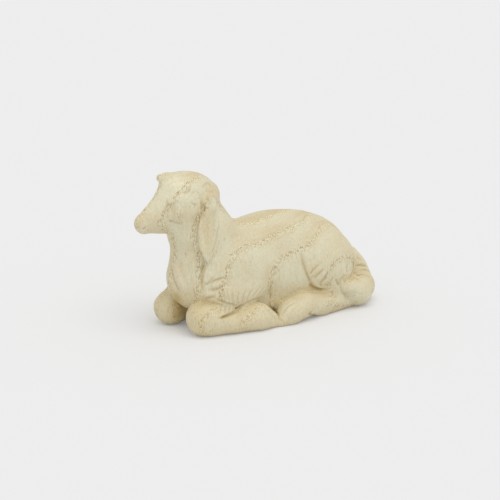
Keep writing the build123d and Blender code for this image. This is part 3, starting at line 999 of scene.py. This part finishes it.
class Graph:
    """The nodes of a material or world, with a short call for each kind that is used often."""

    def __init__(self, owner):
        owner.use_nodes = True
        self.nodes, self.links = owner.node_tree.nodes, owner.node_tree.links
        self.nodes.clear()

    def new(self, kind, inputs=None, **settings):
        """A node with settings, and with each input set to a value or linked to an output."""
        made = self.nodes.new(kind)
        for name, value in settings.items():
            setattr(made, name, value)
        for socket, value in (inputs or {}).items():
            if isinstance(value, (int, float, tuple)):
                made.inputs[socket].default_value = value
            else:
                self.links.new(value, made.inputs[socket])
        return made

    def maths(self, operation, *values, clamp=False):
        inputs = dict(enumerate(values))
        return self.new("ShaderNodeMath", inputs, operation=operation, use_clamp=clamp).outputs[0]

    def plus(self, a, b):
        return self.maths("ADD", a, b)

    def times(self, a, b):
        return self.maths("MULTIPLY", a, b)

    def mix(self, factor, a, b, blend="MIX"):
        inputs = {0: factor, 6: a, 7: b}
        return self.new("ShaderNodeMix", inputs, data_type="RGBA", blend_type=blend).outputs[2]

    def between(self, value, low, high, to_low=0.0, to_high=1.0):
        """A value from low to high, turned into one from to_low to to_high."""
        limits = {"From Min": low, "From Max": high, "To Min": to_low, "To Max": to_high}
        return self.new("ShaderNodeMapRange", {"Value": value, **limits}).outputs["Result"]

    def scaled(self, vector, scale):
        inputs = {0: vector, 1: scale}
        return self.new("ShaderNodeVectorMath", inputs, operation="MULTIPLY").outputs[0]

    def noise(self, vector, detail=2.0, roughness=0.5):
        inputs = {"Vector": vector, "Scale": 1.0, "Detail": detail, "Roughness": roughness}
        return self.new("ShaderNodeTexNoise", inputs).outputs["Fac"]

    def mark(self, name):
        """What the vertices say under this name."""
        return self.new("ShaderNodeAttribute", attribute_name=name).outputs["Fac"]

    def camera_ray(self):
        return self.new("ShaderNodeLightPath").outputs["Is Camera Ray"]

    def mix_shaders(self, factor, a, b):
        inputs = {0: factor, 1: a.outputs[0], 2: b.outputs[0]}
        return self.new("ShaderNodeMixShader", inputs).outputs[0]


def ring_wood(graph, in_mm):
    """Millimetres across the year rings, and the shares of late wood and of early wood."""
    ragged = graph.maths("SUBTRACT", graph.noise(graph.scaled(in_mm, RAGGED_GRAIN)), 0.5)
    rings = graph.plus(graph.mark("ring"), graph.times(ragged, RING_RAGGEDNESS))
    low, high = RING_PLACES[0] - RING_MARGIN, RING_PLACES[-1] + RING_MARGIN
    profile = graph.new("ShaderNodeValToRGB", {"Fac": graph.between(rings, low, high)})
    # Each ring from its start: open pores in green, then pale wood that slowly turns tan, in red
    stops = []
    for ring in RING_PLACES:
        stops += [(ring - PORE_BAND, (0, 0, 0)), (ring, (0, 1, 0)), (ring + RING_STEP, (1, 0, 0))]
    elements = profile.color_ramp.elements
    while len(elements) < len(stops):
        elements.new(0.5)
    for element, (at, tone) in zip(elements, stops):
        element.position = (at - low) / (high - low)
        element.color = tone + (1,)
    shares = graph.new("ShaderNodeSeparateColor", {0: profile.outputs["Color"]}).outputs
    # Where a ring runs along the surface, the power keeps its band as narrow as elsewhere
    early_wood = graph.maths("POWER", shares["Green"], graph.mark("ring_spread"))
    return rings, shares["Red"], early_wood


def open_pores(graph, in_mm, early_wood):
    """Short vessels cut along the fibre in the early wood, and stray ones everywhere."""
    pores_in_mm = tuple(1 / size for size in PORE_SIZE)
    inputs = {"Vector": graph.scaled(in_mm, pores_in_mm), "Scale": 1.0}
    vessels = graph.new("ShaderNodeTexVoronoi", inputs)
    hole = graph.between(vessels.outputs["Distance"], *PORE_RIM)
    more_on_legs = graph.between(graph.mark("warm"), 0.0, 1.0, 0.0, STRAYS_ON_LEGS)
    stray = graph.plus(graph.noise(graph.scaled(in_mm, STRAY_GRAIN), 1.0), more_on_legs)
    stray = graph.times(graph.between(stray, *STRAY_LEVELS), STRAY_SHARE)
    return graph.maths("MAXIMUM", graph.times(hole, early_wood), stray)


def fibre_ends(graph):
    """How far the surface cuts across the fibres: 1 where it faces up or down."""
    normal = graph.new("ShaderNodeNewGeometry").outputs["Normal"]
    upward = graph.new("ShaderNodeSeparateXYZ", {0: normal}).outputs["Z"]
    return graph.maths("POWER", graph.maths("ABSOLUTE", upward), 2.0)


def tan_share(graph, in_mm, rings, late_wood, ends):
    """How tan the wood is: late wood, strongest where the fibres end, in streaks and patches."""
    position = graph.new("ShaderNodeSeparateXYZ", {0: in_mm}).outputs
    along = graph.new("ShaderNodeCombineXYZ", {
        "X": graph.times(rings, STREAK_ACROSS),
        "Y": graph.times(position["X"], STREAK_ALONG),
        "Z": graph.times(position["Z"], STREAK_ALONG),
    })
    share = graph.times(late_wood, graph.plus(graph.times(ends, TAN_ON_ENDS), TAN_ON_SIDES))
    share = graph.times(share, graph.between(graph.noise(along.outputs[0]), *STREAKS))
    share = graph.times(share, graph.between(graph.mark("warm"), -1.0, 0.0))
    patch = graph.noise(graph.scaled(in_mm, PATCH_GRAIN))
    share = graph.plus(share, graph.between(patch, *TAN_PATCHES))
    return graph.maths("ADD", share, graph.times(ends, TAN_OF_ENDS), clamp=True)


def wood_material():
    material = bpy.data.materials.new("carved_wood")
    graph = Graph(material)
    place = graph.new("ShaderNodeTexCoord").outputs["Object"]
    in_mm = graph.scaled(place, (1 / MM, 1 / MM, 1 / MM))
    rings, late_wood, early_wood = ring_wood(graph, in_mm)
    pores = open_pores(graph, in_mm, early_wood)
    ends = fibre_ends(graph)
    fibre = graph.noise(graph.scaled(in_mm, FIBRE_GRAIN), 3.0, 0.6)
    speck = graph.noise(graph.scaled(in_mm, SPECK_GRAIN), 3.0, 0.7)

    # Colour: the rings, then the patches of other wood and of painted light and shade, the early wood,
    # specks, painted shade in the cuts, and pores
    warm = graph.mark("warm")
    colour = graph.mix(tan_share(graph, in_mm, rings, late_wood, ends), CREAM, TAN)
    # Paler wood, and painted light on the brow and the nose bridge
    colour = graph.mix(graph.between(warm, 0.0, -1.0), colour, PALE_AND_LIT)
    colour = graph.mix(graph.between(warm, 0.0, 1.0, 0.0, MOST_WARM), colour, WARM_AND_SHADE)
    # Brown wood, and painted shade in pockets, gaps and creases
    colour = graph.mix(graph.between(warm, 1.0, 2.0), colour, BROWN_AND_SHADE)
    flecks = graph.plus(graph.times(ends, EARLY_ON_ENDS), EARLY_ON_SIDES)
    colour = graph.mix(graph.times(early_wood, flecks), colour, EARLY)
    tone = graph.plus(graph.between(fibre, *FIBRE_TONES), graph.between(speck, *SPECK_TONES))
    grey = graph.new("ShaderNodeCombineColor", {0: tone, 1: tone, 2: tone})
    colour = graph.mix(1.0, colour, grey.outputs[0], "MULTIPLY")
    # Painted shade in the cuts
    colour = graph.mix(graph.between(graph.mark("stain"), *SHADE_DEPTHS), colour, HOLLOW_SHADE)
    colour = graph.mix(graph.times(pores, PORE_SHARE), colour, PORE)

    # Surface: the fibres stand a little, and the pores are open
    height = graph.plus(graph.times(fibre, FIBRE_HEIGHT), graph.times(speck, SPECK_HEIGHT))
    height = graph.maths("SUBTRACT", height, graph.times(pores, PORE_DEPTH))
    bump = {"Strength": BUMP_STRENGTH, "Distance": MM, "Height": height}
    shader = graph.new("ShaderNodeBsdfPrincipled", {
        "Base Color": colour,
        "Normal": graph.new("ShaderNodeBump", bump).outputs["Normal"],
        "Roughness": graph.plus(graph.times(speck, SPECK_ROUGHNESS), ROUGHNESS),
        "Specular IOR Level": SHINE,
    })
    graph.new("ShaderNodeOutputMaterial", {"Surface": shader.outputs[0]})
    return material


# Floor, light and camera

FLOOR_TONE = 0.838
FLOOR_COLOUR = (FLOOR_TONE, FLOOR_TONE, FLOOR_TONE, 1)
FLOOR_HALF_SIDE = 4.0
FLOOR_GLOW = 0.20  # the share of the floor's tone that no shadow darkens
SKY_COLOUR = (1, 1, 1, 1)
SKY_STRENGTH = 0.74
LAMP_STRENGTH = 0.95
LAMP_ANGLE = 50.0
LAMP_AZIMUTH = -5.0
LAMP_ELEVATION = 68.0


def make_floor():
    side = FLOOR_HALF_SIDE
    mesh = bpy.data.meshes.new("studio_floor")
    corners = [(-side, -side, 0), (side, -side, 0), (side, side, 0), (-side, side, 0)]
    mesh.from_pydata(corners, [], [(0, 1, 2, 3)])
    material = bpy.data.materials.new("studio_floor")
    graph = Graph(material)
    matt = {"Base Color": FLOOR_COLOUR, "Roughness": 1.0, "Specular IOR Level": 0.0}
    lit = graph.new("ShaderNodeBsdfPrincipled", matt)
    glow = graph.new("ShaderNodeEmission", {"Color": FLOOR_COLOUR})
    seen = graph.mix_shaders(graph.times(graph.camera_ray(), FLOOR_GLOW), lit, glow)
    graph.new("ShaderNodeOutputMaterial", {"Surface": seen})
    mesh.materials.append(material)
    added("studio_floor", mesh)


def make_light():
    world = bpy.data.worlds.new("studio")
    bpy.context.scene.world = world
    graph = Graph(world)
    sky = graph.new("ShaderNodeBackground", {"Color": SKY_COLOUR, "Strength": SKY_STRENGTH})
    backdrop = graph.new("ShaderNodeBackground", {"Color": FLOOR_COLOUR})
    seen = graph.mix_shaders(graph.camera_ray(), sky, backdrop)
    graph.new("ShaderNodeOutputWorld", {"Surface": seen})
    lamp = bpy.data.lights.new("softbox", "SUN")
    lamp.energy = LAMP_STRENGTH
    lamp.angle = math.radians(LAMP_ANGLE)
    holder = added("softbox", lamp)
    to_lamp = Vector(direction(LAMP_AZIMUTH, LAMP_ELEVATION))
    holder.rotation_mode = "QUATERNION"
    holder.rotation_quaternion = to_lamp.to_track_quat("Z", "Y")


def make_camera():
    data = bpy.data.cameras.new("camera")
    data.sensor_width = SENSOR_WIDTH
    data.lens = SENSOR_WIDTH * VIEW_DISTANCE / (PHOTO_SIDE * MM_PER_PIXEL)
    data.clip_start = NEAREST_SEEN
    camera = added("camera", data)
    columns = [Vector(RIGHTWARDS), Vector(UPWARDS), Vector(TO_CAMERA)]
    facing = Matrix(columns).transposed().to_4x4()
    camera.matrix_world = Matrix.Translation(Vector(EYE) * MM) @ facing
    bpy.context.scene.camera = camera


make_camera()
make_light()
make_floor()
wood = wood_material()
vertices, normals, marks, shells = carved_pieces(FINE_STEP)
for number, quads in shells.items():
    make_piece(FORMS[number][0], vertices, normals, marks, quads, wood)

bpy.context.scene.view_settings.view_transform = "Standard"
